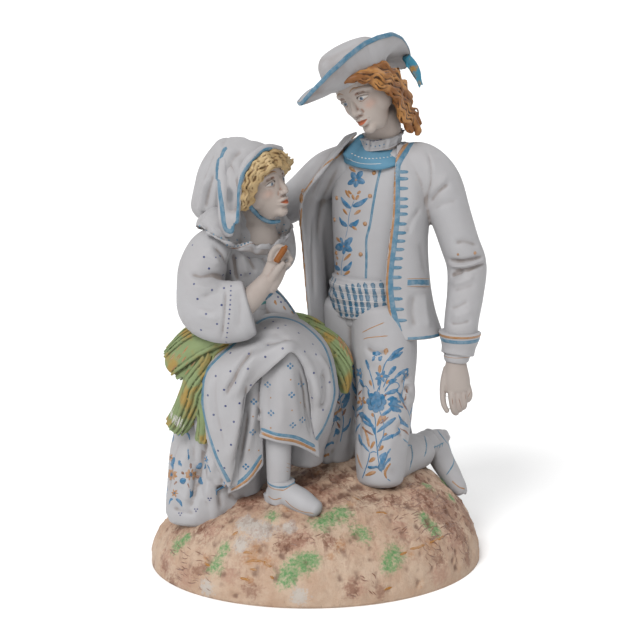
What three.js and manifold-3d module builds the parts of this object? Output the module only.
// A bisque porcelain group: a young man kneels beside a seated girl on a grassy mound.
// The figures and the mound were cast and fired as one, so the whole group is one closed solid.
// Millimetres, +Z up, the group faces -Y, and the origin is the middle of its underside.
import * as THREE from "three";
import { mergeVertices } from "three/addons/utils/BufferGeometryUtils.js";
import Module from "manifold-3d";

const wasm = await Module();
wasm.setup();

// The mound's plan, height and the roundness of its shoulder.
const MOUND_LENGTH = 231;
const MOUND_DEPTH = 202;
const MOUND_HEIGHT = 62;
const MOUND_TURN = 0.16;
const MOUND_SHOULDER = 2.7;
const MOUND_RISE = 10;
const MOUND_DIP = 8;
const MOUND_SIDES = 28;
const MOUND_RINGS = 8;

// Where each figure faces, as an angle from -Y towards +X.
const MAN_TURN = -0.47;
const GIRL_TURN = 0.85;

// Each head's height from chin to crown. Its width and depth follow by common proportions.
const MAN_HEAD = 53;
const GIRL_HEAD = 50;
const HEAD_UNITS = 56;

// The hat: its crown and brim, and how many sides it is turned with.
const CROWN_RADIUS = 23;
const BRIM_WIDTH = 14;
const HAT_SIDES = 16;

// The thickness of cloth that stands clear of a body.
const CLOTH = 2.6;

const vec = (x, y, z) => new THREE.Vector3(x, y, z);
const facing = (turn) => vec(Math.sin(turn), -Math.cos(turn), 0);
const UP = vec(0, 0, 1);

// A closed geometry as a solid for joining and cutting, turned the right way out.
function solid(geometry) {
  const bare = geometry.clone();
  bare.deleteAttribute("normal");
  bare.deleteAttribute("uv");
  const merged = mergeVertices(bare, 1e-3);
  const at = merged.attributes.position;
  const faces = [];
  const corner = [vec(), vec(), vec()];
  let volume = 0;
  for (let i = 0; i < merged.index.count; i += 3) {
    const [a, b, c] = [0, 1, 2].map((k) => merged.index.getX(i + k));
    if (a === b || b === c || c === a) continue;
    [a, b, c].forEach((v, k) => corner[k].fromBufferAttribute(at, v));
    volume += corner[0].dot(corner[1].clone().cross(corner[2]));
    faces.push([a, b, c]);
  }
  const turned = volume < 0 ? faces.map(([a, b, c]) => [a, c, b]) : faces;
  return new wasm.Manifold(
    new wasm.Mesh({
      numProp: 3,
      vertProperties: at.array,
      triVerts: new Uint32Array(turned.flat()),
    }),
  );
}

// Four neighbouring values give a smooth curve between the middle two.
function smooth(list, t) {
  const last = list.length - 1;
  const place = Math.min(Math.max(t, 0), 1) * last;
  const i = Math.min(Math.floor(place), last - 1);
  const s = place - i;
  const [a, b, c, d] = [i - 1, i, i + 1, i + 2].map(
    (k) => list[Math.min(Math.max(k, 0), last)],
  );
  return b.map((_, k) => {
    const slope0 = (c[k] - a[k]) / 2;
    const slope1 = (d[k] - b[k]) / 2;
    return (
      (2 * s ** 3 - 3 * s ** 2 + 1) * b[k] +
      (s ** 3 - 2 * s ** 2 + s) * slope0 +
      (3 * s ** 2 - 2 * s ** 3) * c[k] +
      (s ** 3 - s ** 2) * slope1
    );
  });
}

// A closed form along stations [x, y, z, half width, half depth]. The depth lies towards `front`.
// `relief(angle, t)` swells or pinches the section, and `cap` rounds the two ends outwards.
function limb(stations, { front = vec(0, -1, 0), sides = 10, relief = () => 1, cap = 0.35 } = {}) {
  const rings = stations.length;
  const geometry = new THREE.SphereGeometry(1, sides, rings + 1);
  const at = geometry.attributes.position;
  const full = stations.map((s) => (s.length === 4 ? [...s, s[3]] : s));
  const point = (t) => vec(...smooth(full, t).slice(0, 3));
  for (let row = 0; row <= rings + 1; row++) {
    const t = Math.min(Math.max((row - 1) / (rings - 1), 0), 1);
    const [x, y, z, a, b] = smooth(full, t);
    const along = point(t + 0.02).sub(point(t - 0.02)).normalize();
    const depth = front.clone().addScaledVector(along, -front.dot(along)).normalize();
    const width = along.clone().cross(depth);
    const end = row === 0 ? -1 : row === rings + 1 ? 1 : 0;
    for (let side = 0; side <= sides; side++) {
      const angle = (2 * Math.PI * side) / sides;
      const swell = end ? 0 : relief(angle, t);
      const p = vec(x, y, z)
        .addScaledVector(along, end * cap * Math.min(a, b))
        .addScaledVector(width, a * swell * Math.sin(angle))
        .addScaledVector(depth, b * swell * Math.cos(angle));
      at.setXYZ(row * (sides + 1) + side, p.x, p.y, p.z);
    }
  }
  return solid(geometry);
}

// A closed slab of cloth through rows of points, each row from one side to the other.
function sheet(rows, { across = 5, along = 5, thickness = CLOTH } = {}) {
  const geometry = new THREE.BoxGeometry(1, 1, 1, across, along, 1);
  const at = geometry.attributes.position;
  const spot = (u, v) => vec(...smooth(rows.map((row) => smooth(row, u)), v));
  for (let i = 0; i < at.count; i++) {
    const u = at.getX(i) + 0.5;
    const v = at.getY(i) + 0.5;
    const du = spot(u + 0.01, v).sub(spot(u - 0.01, v));
    const dv = spot(u, v + 0.01).sub(spot(u, v - 0.01));
    const normal = du.cross(dv).normalize();
    const p = spot(u, v).addScaledVector(normal, at.getZ(i) * thickness);
    at.setXYZ(i, p.x, p.y, p.z);
  }
  return solid(geometry);
}

// An ellipsoid with its own right, front and up.
function lump(centre, half, { front = vec(0, -1, 0), up = UP, sides = 10, rows = 7 } = {}) {
  const geometry = new THREE.SphereGeometry(1, sides, rows);
  const right = up.clone().cross(front).normalize();
  geometry.scale(...half);
  geometry.applyMatrix4(new THREE.Matrix4().makeBasis(right, front, up));
  geometry.translate(...centre);
  return solid(geometry);
}

const join = (solids) => solids.reduce((whole, next) => whole.add(next));

// The mound: a dome on an oval plan, turned a little, fuller at the right and flatter at the left.
function mound() {
  const profile = [vec(0, 0, 0), vec(1, 0, 0)];
  for (let i = 1; i <= MOUND_RINGS; i++) {
    const r = i === MOUND_RINGS ? 0 : Math.cos((Math.PI / 2) * (i / MOUND_RINGS) ** 0.8);
    profile.push(vec(r, (1 - r ** MOUND_SHOULDER) ** 0.5, 0));
  }
  const geometry = new THREE.LatheGeometry(profile.map((p) => new THREE.Vector2(p.x, p.y)), MOUND_SIDES);
  const at = geometry.attributes.position;
  for (let i = 0; i < at.count; i++) {
    const along = (at.getX(i) * MOUND_LENGTH) / 2;
    const across = (at.getZ(i) * MOUND_DEPTH) / 2;
    const x = along * Math.cos(MOUND_TURN) - across * Math.sin(MOUND_TURN);
    const y = along * Math.sin(MOUND_TURN) + across * Math.cos(MOUND_TURN);
    const full =
      MOUND_RISE * Math.exp(-(((x - 78) / 42) ** 2) - ((y - 40) / 55) ** 2) -
      MOUND_DIP * Math.exp(-(((x + 90) / 30) ** 2) - ((y + 5) / 60) ** 2);
    const rough = Math.sin(x * 0.13 + 1) * Math.cos(y * 0.16) + 0.6 * Math.sin(x * 0.31 - y * 0.27);
    at.setXYZ(i, x, y, at.getY(i) * (MOUND_HEIGHT + full + rough));
  }
  return solid(geometry);
}

// A head that looks along `gaze`, with the crown towards `crown`: skull, jaw, nose and chin.
function head(centre, gaze, crown, height) {
  const up = crown.clone().addScaledVector(gaze, -gaze.dot(crown)).normalize();
  const k = height / HEAD_UNITS;
  const spot = (forward, rise) =>
    centre.clone().addScaledVector(gaze, forward * k).addScaledVector(up, rise * k);
  const station = (forward, rise, ...half) => [...spot(forward, rise).toArray(), ...half.map((h) => h * k)];
  return join([
    lump(spot(-2, 7), [20.5 * k, 24 * k, 22 * k], { front: gaze, up, sides: 10, rows: 7 }),
    limb(
      [
        station(3, 8, 18.5, 18.5),
        station(4, -3, 17.5, 17.5),
        station(5, -12, 15, 16),
        station(7, -20, 11, 13.5),
        station(9, -25.5, 6.5, 10),
      ],
      { front: gaze, sides: 8, cap: 0.25 },
    ),
    limb(
      [station(21.5, 2, 1.8, 1.5), station(22.5, -3, 2.4, 2.4), station(23.2, -7, 3.4, 2.8)],
      { front: gaze, sides: 5 },
    ),
    lump(spot(16, -21), [5.5 * k, 4 * k, 4 * k], { front: gaze, up, sides: 6, rows: 4 }),
  ]);
}

// A hand: palm from the wrist to the knuckles, and one limb for each finger and the thumb.
function hand(palm, fingers, front) {
  return join([
    limb(palm, { front, sides: 8 }),
    ...fingers.map((finger) => limb(finger, { front, sides: 4 })),
  ]);
}

// A shoe along its sole, with a block heel where `heel` names its place.
function shoe(stations, front, heel) {
  const upper = limb(stations, { front, sides: 8, cap: 0.5 });
  return heel ? upper.add(limb(heel, { front, sides: 6, cap: 0 })) : upper;
}

const MAN_FRONT = facing(MAN_TURN);
const GIRL_FRONT = facing(GIRL_TURN);

// The kneeling man's legs: trousers to the ground at both knees, lower legs and shoes behind.
function manLegs() {
  const wrinkled = (angle, t) => 1 + 0.03 * Math.sin(5 * angle + 9 * t);
  const leg = (stations, sides = 10) => limb(stations, { front: MAN_FRONT, sides, relief: wrinkled });
  return join([
    leg([
      [44, 2, 176, 21], [47, -2, 152, 22], [47, -8, 125, 19.5], [46, -13, 103, 18.5],
      [44.5, -17, 84, 17.5], [44, -20, 62, 14],
    ]),
    leg([[45, -16, 71, 14], [56, 4, 71, 15], [68, 20, 71, 13.5], [73, 27, 71, 12]], 8),
    leg([[24, 18, 176, 21], [20, 18, 145, 20], [14, 11, 112, 17], [11, 7, 92, 16.5], [11, 4, 68, 14]]),
    leg([[13, 9, 78, 14], [28, 34, 75, 13.5], [46, 56, 72, 12], [54, 64, 72, 10]], 8),
    leg([[40, 16, 170, 27, 22], [42, 18, 150, 25, 20]]),
    limb([[70, 24, 72, 11], [80, 36, 77, 9]], { sides: 8 }),
    shoe([
      [83, 40, 80, 8, 6], [86, 36, 70, 9, 9], [93, 30, 58, 8.5, 8], [100, 23, 47, 7.5, 6.5],
      [103, 20, 40, 5, 4],
    ], vec(-0.7, -0.3, -0.6)),
    shoe([
      [58, 72, 80, 8, 6], [60, 71, 68, 9, 8], [63, 71, 55, 8, 7], [66, 70, 43, 7, 6],
      [67, 69, 36, 5, 4],
    ], vec(-0.5, -0.8, -0.2)),
  ]);
}

// His body: shirt front, sash and neck, all turned with his shoulders.
function manTorso() {
  return join([
    limb([
      [38, 9, 168, 26, 20], [37, 9, 200, 26, 17.5], [39, 8, 230, 30, 17.5], [41, 8, 258, 33, 17],
      [41, 9, 274, 31, 14], [41, 10, 285, 25, 13], [41, 9, 292, 15, 12],
    ], { front: MAN_FRONT }),
    limb([
      [37, 9, 173, 28, 23.5], [36.5, 9, 186, 28.5, 23.5], [36.5, 9, 199, 27, 22.5],
    ], { front: MAN_FRONT, cap: 0 }),
    limb([
      [41, 9, 284, 18, 15], [40, 7, 292, 13, 12.5], [38, 2, 301, 11, 11], [36, -2, 311, 9.5, 10],
    ], { front: MAN_FRONT, sides: 8 }),
  ]);
}

// His open jacket: a shell cut away in front, with the far front blown wide open.
function manJacket() {
  const shell = limb(
    [
      [47, 14, 159, 42, 29], [44, 12, 176, 39, 27], [41.5, 10, 196, 37.5, 27],
      [40, 10, 222, 37, 27], [40.5, 10, 246, 38, 26], [41, 11, 266, 38, 23], [41, 11, 280, 34, 18],
      [41, 11, 290, 22, 15],
    ],
    { front: MAN_FRONT, sides: 16, cap: 0.1 },
  );
  const side = vec(Math.cos(MAN_TURN), Math.sin(MAN_TURN), 0);
  const opening = new THREE.BoxGeometry(54, 60, 200);
  opening.applyMatrix4(new THREE.Matrix4().makeBasis(side, MAN_FRONT, UP));
  opening.translate(38 + MAN_FRONT.x * 38 - side.x * 5, 10 + MAN_FRONT.y * 38 - side.y * 5, 240);
  const farFront = sheet([
    [[14, 24, 286], [20, 12, 293], [27, 3, 297]],
    [[0, 26, 268], [6, 10, 276], [12, -2, 283]],
    [[-2, 24, 246], [-6, 12, 254], [-10, 0, 256]],
    [[4, 22, 216], [-2, 9, 218], [-9, -2, 220]],
    [[9, 20, 188], [2, 7, 186], [-6, -5, 184]],
    [[12, 20, 173], [4, 5, 169], [-3, -6, 167]],
  ], { across: 3, along: 6, thickness: 3 });
  return join([shell.subtract(solid(opening)), farFront]);
}

// His arms: one hangs at his side with a turned-back cuff, the other goes round behind the girl.
function manArms() {
  const cuff = limb([[97.8, -11, 161, 14.5], [97.5, -11, 156, 13.5], [97, -12, 144, 10.5]], { cap: 0 });
  const palm = [
    [97, -12, 146, 7, 6], [96.5, -13, 138, 7.5, 5.5], [96.5, -14, 127, 10, 5.5],
    [97, -14, 118, 9, 5],
  ];
  const fingers = [0, 1, 2, 3].map((i) => {
    const x = 91.5 + 4 * i;
    const drop = [0, 2.5, 1.5, -1.5][i];
    return [[x, -14, 121, 2.8], [x - 0.7, -14, 113 - drop, 2.6], [x - 1.6, -9, 107 - drop, 2.1]];
  });
  const thumb = [[89, -12, 128, 3], [87.3, -14, 119, 2.7], [88.6, -15, 110, 2.3]];
  const farFinger = (i) => [[-54, 13, 240 - 4 * i, 2.7], [-64, 7, 239 - 4 * i, 2.4]];
  return join([
    limb([
      [60, 3, 277, 12], [73, 0, 274, 15], [83.5, -3, 261, 15], [91, -3, 240, 13.8],
      [97.5, -3, 222, 13.2], [102, -2, 207, 13.3], [101.5, -6, 190, 12.3], [99, -9, 172, 11.6],
      [98, -11, 158, 11],
    ]),
    cuff,
    hand(palm, [...fingers, thumb], vec(0, -1, 0)),
    limb([
      [22, 16, 277, 12], [8, 24, 268, 14.5], [-8, 33, 252, 14], [-22, 34, 242, 12.5],
      [-38, 26, 237, 11], [-46, 20, 236, 10],
    ], { sides: 8 }),
    hand([[-44, 21, 236, 7, 6], [-54, 14, 235, 8, 5]], [0, 1, 2, 3].map(farFinger), vec(-0.5, 0.8, 0)),
  ]);
}

// His head, long curls and the wide hat: its brim turned up at the near side and drooping behind.
function manHead() {
  const gaze = vec(-0.63, -0.65, -0.42).normalize();
  const crown = vec(-0.51, -0.05, 0.86).normalize();
  const up = crown.clone().addScaledVector(gaze, -gaze.dot(crown)).normalize();
  const near = up.clone().cross(gaze);
  const centre = vec(33, -8, 327);
  const hatCentre = centre.clone().addScaledVector(up, 15).addScaledVector(gaze, -1);
  const bell = (angle, middle, width) => {
    const away = Math.atan2(Math.sin(angle - middle), Math.cos(angle - middle));
    return Math.exp(-((away / width) ** 2));
  };
  // The brim's reach past the crown and its rise, at an angle from the front round by the near side.
  const reach = (a) => BRIM_WIDTH + 6 * bell(a, 0, 0.7) + 5 * bell(a, 2.8, 0.9) - 8 * bell(a, 1.5, 0.8);
  const lift = (a) => 10.5 * bell(a, 1.35, 0.95) + 4 * bell(a, -0.3, 0.6) - 20 * bell(a, 3.35, 0.65);
  // The section as radius and height. A radius of 1 or less is a share of the brim's reach.
  const rows = [
    [0, -5], [20, -5], [0.5, -2.6], [1, -1], [1, 1.2], [0.3, 0.2], [CROWN_RADIUS, 1],
    [CROWN_RADIUS, 8], [CROWN_RADIUS - 2.5, 15], [CROWN_RADIUS - 10, 18.5], [0, 19],
  ];
  const hat = new THREE.LatheGeometry(rows.map(([r, z]) => new THREE.Vector2(r, z)), HAT_SIDES);
  const at = hat.attributes.position;
  for (let i = 0; i < at.count; i++) {
    const column = Math.floor(i / rows.length);
    const [r, z] = rows[i % rows.length];
    const angle = (2 * Math.PI * column) / HAT_SIDES;
    const brim = r > 0 && r <= 1;
    const out = brim ? CROWN_RADIUS - 1 + reach(angle) * r : r;
    const rise = brim ? z + lift(angle) * r ** 1.4 : z;
    const p = hatCentre
      .clone()
      .addScaledVector(gaze, out * Math.cos(angle) * 1.04)
      .addScaledVector(near, out * Math.sin(angle) * 0.95)
      .addScaledVector(up, rise);
    at.setXYZ(i, p.x, p.y, p.z);
  }
  const waves = (angle, t) => 1 + 0.13 * Math.sin(30 * t + angle);
  const curl = (stations) => limb(stations, { sides: 6, relief: waves });
  return join([
    head(centre, gaze, crown, MAN_HEAD),
    solid(hat),
    curl([
      [40, -24, 338, 5], [50, -16, 334, 9], [56, -5, 328, 11], [60, 2, 318, 9], [67, 8, 306, 7.5],
      [72, 10, 299, 4],
    ]),
    curl([[52, 4, 330, 12], [54, 8, 315, 11], [58, 12, 302, 8], [66, 13, 296, 4]]),
    curl([[38, 16, 332, 12], [44, 18, 314, 12], [48, 18, 298, 9]]),
    curl([[22, 14, 322, 9], [26, 18, 308, 9], [30, 18, 296, 6]]),
    limb([[52, 2, 338, 5], [62, 9, 344, 5], [70, 15, 339, 5], [74, 19, 328, 1.5]], { sides: 6 }),
  ]);
}

// The girl's skirt: a wide fall of cloth to the ground, her lap, and the underskirt on her shin.
function girlSkirt() {
  const pleats = (count, depth) => (angle, t) =>
    1 + depth * (1 - 0.5 * t) * Math.cos(count * angle + 2 * t);
  return join([
    limb([
      [-66, -8, 44, 38, 36], [-65.5, -10, 62, 36, 34], [-64, -12, 90, 33, 32],
      [-61, -15, 122, 31, 31], [-56, -16, 150, 28, 29], [-49, -15, 172, 21, 21],
      [-45, -14, 186, 14, 13],
    ], { front: GIRL_FRONT, sides: 18, relief: pleats(6, 0.07), cap: 0 }),
    limb([
      [-62, -26, 158, 20, 20], [-40, -40, 162, 18, 16], [-24, -50, 160, 15.5, 14],
      [-17, -54, 155, 12, 12],
    ], { front: UP }),
    limb([
      [-50, 0, 158, 20, 20], [-24, -12, 161, 18, 15], [-8, -21, 157, 15, 14],
      [-1, -26, 151, 12, 12],
    ], { front: UP }),
    limb([
      [-17, -53, 155, 10, 10], [-18, -52, 140, 13, 12], [-18, -49, 118, 17, 15],
      [-18, -47, 97, 19, 16],
    ], { relief: pleats(4, 0.07), cap: 0 }),
    limb([
      [-3, -26, 148, 12, 12], [-2, -26, 128, 15, 14], [-3, -28, 105, 14, 14],
      [-6, -30, 88, 10, 12],
    ], { relief: pleats(5, 0.08), cap: 0 }),
    limb([
      [-62, -38, 150, 21, 16], [-62, -44, 122, 22, 14], [-60, -46, 94, 19, 12],
      [-57, -48, 66, 11, 8], [-56, -48, 55, 5, 5],
    ], { relief: pleats(4, 0.08) }),
    limb([
      [-84, -22, 96, 10, 10], [-84, -30, 74, 12, 11], [-82, -35, 54, 15, 12],
      [-80, -38, 42, 17, 13],
    ], { relief: pleats(3, 0.1) }),
  ]);
}

// Her shin and heeled boot below the underskirt.
function girlLeg() {
  return join([
    limb([[-25, -47, 100, 9], [-25, -48, 84, 8], [-25, -48, 70, 7.5], [-23, -49, 62, 7.5]]),
    shoe([
      [-29, -46, 63, 6, 6], [-22, -49, 62, 7.5, 8], [-12, -55, 57.5, 7.5, 6],
      [-3, -60, 54.5, 7, 5], [2, -62, 53.5, 5, 4],
    ], UP, [[-29, -46, 60, 5.5], [-29, -46, 48, 4.8]]),
  ]);
}

// Bundles of cut corn held in her apron: ridged sheaves that spread at the ends.
function sheaves() {
  const strands = (angle, t) => 1 + 0.1 * Math.cos(5 * angle + 3 * t);
  const sheaf = (stations, front) => limb(stations, { front, sides: 8, relief: strands, cap: 0.2 });
  return join([
    sheaf([
      [-50, -42, 172, 9, 8], [-66, -42, 168, 14, 10], [-82, -38, 158, 15, 11],
      [-94, -34, 148, 10, 9],
    ], vec(-0.4, -0.8, 0.5)),
    sheaf([
      [-76, -44, 152, 10, 9], [-81, -45, 130, 13, 11], [-87, -42, 114, 13, 10],
      [-93, -38, 107, 9, 8],
    ], vec(-0.5, -0.9, 0)),
    sheaf([[-34, -22, 178, 8, 7], [-10, -12, 179, 12, 8], [6, -8, 176, 8, 6]], UP),
    sheaf([
      [-4, -18, 170, 12, 8], [8, -18, 160, 13, 9], [17, -18, 148, 9, 8], [21, -20, 140, 5, 5],
    ], vec(0.6, -0.6, 0.5)),
  ]);
}

// The apron over both knees: one cloth with a lobe on each side of the underskirt.
function apron() {
  return join([
    sheet([
      [[-60, -18, 178], [-42, -28, 181], [-24, -30, 183], [-4, -22, 178]],
      [[-66, -44, 166], [-46, -56, 173], [-26, -58, 178], [2, -34, 171]],
      [[-80, -50, 142], [-62, -62, 146], [-42, -66, 150], [-26, -68, 158]],
      [[-80, -54, 120], [-70, -64, 120], [-56, -64, 122], [-48, -60, 128]],
      [[-74, -56, 92], [-68, -62, 92], [-60, -62, 93], [-54, -58, 96]],
      [[-60, -54, 62], [-59, -56, 62], [-57, -56, 62], [-56, -54, 62]],
    ], { across: 5, along: 8 }),
    sheet([
      [[-24, -56, 177], [-10, -48, 176], [2, -34, 171]],
      [[-16, -62, 163], [-2, -50, 158], [10, -34, 154]],
      [[-10, -58, 140], [2, -46, 138], [12, -34, 136]],
      [[-6, -50, 116], [2, -44, 116], [9, -36, 118]],
      [[-2, -44, 98], [0, -44, 98], [2, -40, 100]],
    ], { across: 3, along: 6 }),
  ]);
}

// Her bodice, collar and the wide near sleeve, with the forearm and hand that come out of it.
function girlTorso() {
  const gathered = (angle, t) => 1 + 0.03 * Math.cos(5 * angle) * Math.sin(Math.PI * t);
  const finger = (...places) => places.map((place, i) => [...place, 2.5 - 0.2 * i]);
  return join([
    limb([
      [-47, -15, 184, 15, 14], [-48, -17, 197, 15, 14], [-49, -20, 210, 21, 18],
      [-47, -21, 224, 25, 20], [-45, -19, 238, 23, 16], [-43, -20, 248, 12, 11],
    ], { front: GIRL_FRONT, relief: gathered }),
    limb([
      [-47, -16, 228, 33, 24], [-46, -18, 234, 30, 22], [-43, -21, 245, 18, 16],
      [-42, -23, 251, 11, 11],
    ], { front: GIRL_FRONT, sides: 12, cap: 0 }),
    limb([[-43, -20, 244, 10.5], [-41, -23, 252, 9.5], [-40, -25, 262, 9.5]], { sides: 8 }),
    limb([
      [-62, -34, 234, 12], [-70, -42, 226, 15, 14], [-75, -47, 208, 15, 16],
      [-72, -54, 191, 16, 21], [-60, -59, 188, 12, 20], [-47, -61, 190, 9.5, 19],
    ], { front: UP, cap: 0.1 }),
    limb([[-52, -60, 192, 8.5], [-42, -61, 203, 7.5], [-36, -60, 210, 6]], { sides: 8 }),
    hand(
      [[-37, -60, 208, 6, 5], [-34, -59, 216, 7, 4.5], [-31, -58, 223, 7, 4]],
      [
        finger([-35, -57, 221], [-33, -56, 230], [-29, -55, 233]),
        finger([-31, -57, 222], [-29, -56, 230], [-25, -56, 231]),
        finger([-28, -58, 220], [-26, -58, 227], [-23, -58, 226]),
        finger([-35, -62, 214], [-30, -63, 222], [-27, -62, 226]),
      ],
      vec(0, -1, 0),
    ),
    limb([[-24, 4, 234, 11], [-20, 6, 216, 11.5], [-18, 2, 200, 10], [-16, -6, 188, 9]], { sides: 8 }),
  ]);
}

// Her head under a scarf: a hood with a bag of cloth behind, and a flap turned back at the side.
function girlHead() {
  const gaze = vec(0.86, -0.47, 0.18).normalize();
  const crown = vec(-0.2, -0.05, 1).normalize();
  const centre = vec(-38, -30, 268);
  const curls = (angle, t) => 1 + 0.12 * Math.sin(34 * t + 2 * angle);
  return join([
    head(centre, gaze, crown, GIRL_HEAD),
    limb([
      [-28, -36, 289, 5], [-33, -44, 284, 6], [-42, -50, 270, 6], [-47, -50, 256, 5.5],
      [-49, -48, 249, 3.5],
    ], { sides: 6, relief: curls }),
    limb([[-26, -34, 289, 5], [-22, -24, 287, 6], [-24, -12, 280, 6]], { sides: 6, relief: curls }),
    lump([-44, -25, 273], [22.5, 23.5, 22.5], { front: gaze, up: crown, sides: 12, rows: 7 }),
    limb([
      [-48, -22, 282, 20, 22], [-56, -18, 270, 20, 23], [-63, -14, 258, 17, 21],
      [-69, -12, 248, 14, 17], [-71, -12, 242, 9, 12],
    ], { front: gaze, relief: (a, t) => 1 + 0.05 * t * Math.cos(5 * a) }),
    sheet([
      [[-58, -20, 296], [-48, -24, 297], [-36, -30, 292]],
      [[-62, -40, 286], [-54, -46, 283], [-44, -50, 276]],
      [[-63, -48, 266], [-58, -53, 263], [-51, -54, 261]],
      [[-62, -50, 249], [-58, -54, 247], [-53, -54, 248]],
      [[-59, -49, 239], [-57, -51, 238], [-55, -51, 239]],
    ], { across: 2, along: 6, thickness: 3 }),
  ]);
}

const group = new THREE.Group();
const whole = join([
  mound(),
  manLegs(),
  manTorso(),
  manJacket(),
  manArms(),
  manHead(),
  girlSkirt(),
  girlLeg(),
  sheaves(),
  apron(),
  girlTorso(),
  girlHead(),
]);
const made = whole.getMesh();
const geometry = new THREE.BufferGeometry();
geometry.setAttribute("position", new THREE.BufferAttribute(made.vertProperties, 3));
geometry.setIndex(new THREE.BufferAttribute(made.triVerts, 1));
const bisque = new THREE.MeshStandardMaterial({ color: 0xd9d5d0, roughness: 0.72, metalness: 0 });
const figurine = new THREE.Mesh(geometry, bisque);
figurine.name = "figurine_group";
group.add(figurine);

export default group;
